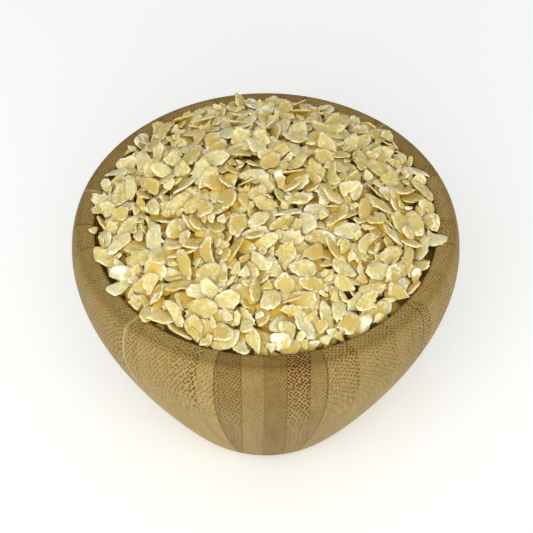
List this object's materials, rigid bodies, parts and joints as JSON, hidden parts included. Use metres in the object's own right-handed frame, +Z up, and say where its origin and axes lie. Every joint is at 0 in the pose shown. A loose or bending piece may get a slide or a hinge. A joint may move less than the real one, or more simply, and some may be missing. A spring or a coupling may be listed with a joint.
{
  "type": "bowl of rice flakes",
  "caption": "Round turned bamboo bowl with a level rim and a narrow flat foot, heaped over the rim with dry rolled rice flakes.",
  "frame": {"origin": "middle of the foot's flat face, on the surface the bowl stands on", "axes": "+Z up along the bowl's turning axis; the side of the bowl seen in front is at -Y"},
  "size_m": [0.12, 0.12, 0.0954],
  "materials": {
    "bamboo": "satin laminated bamboo with fine fibre dots and glue lines",
    "rice_flakes": "dry, cream yellow, slightly translucent, with a soft satin surface"
  },
  "bodies": {
    "root": {"bowl": "bamboo", "rice_flakes": "rice_flakes"}
  },
  "joints": []
}
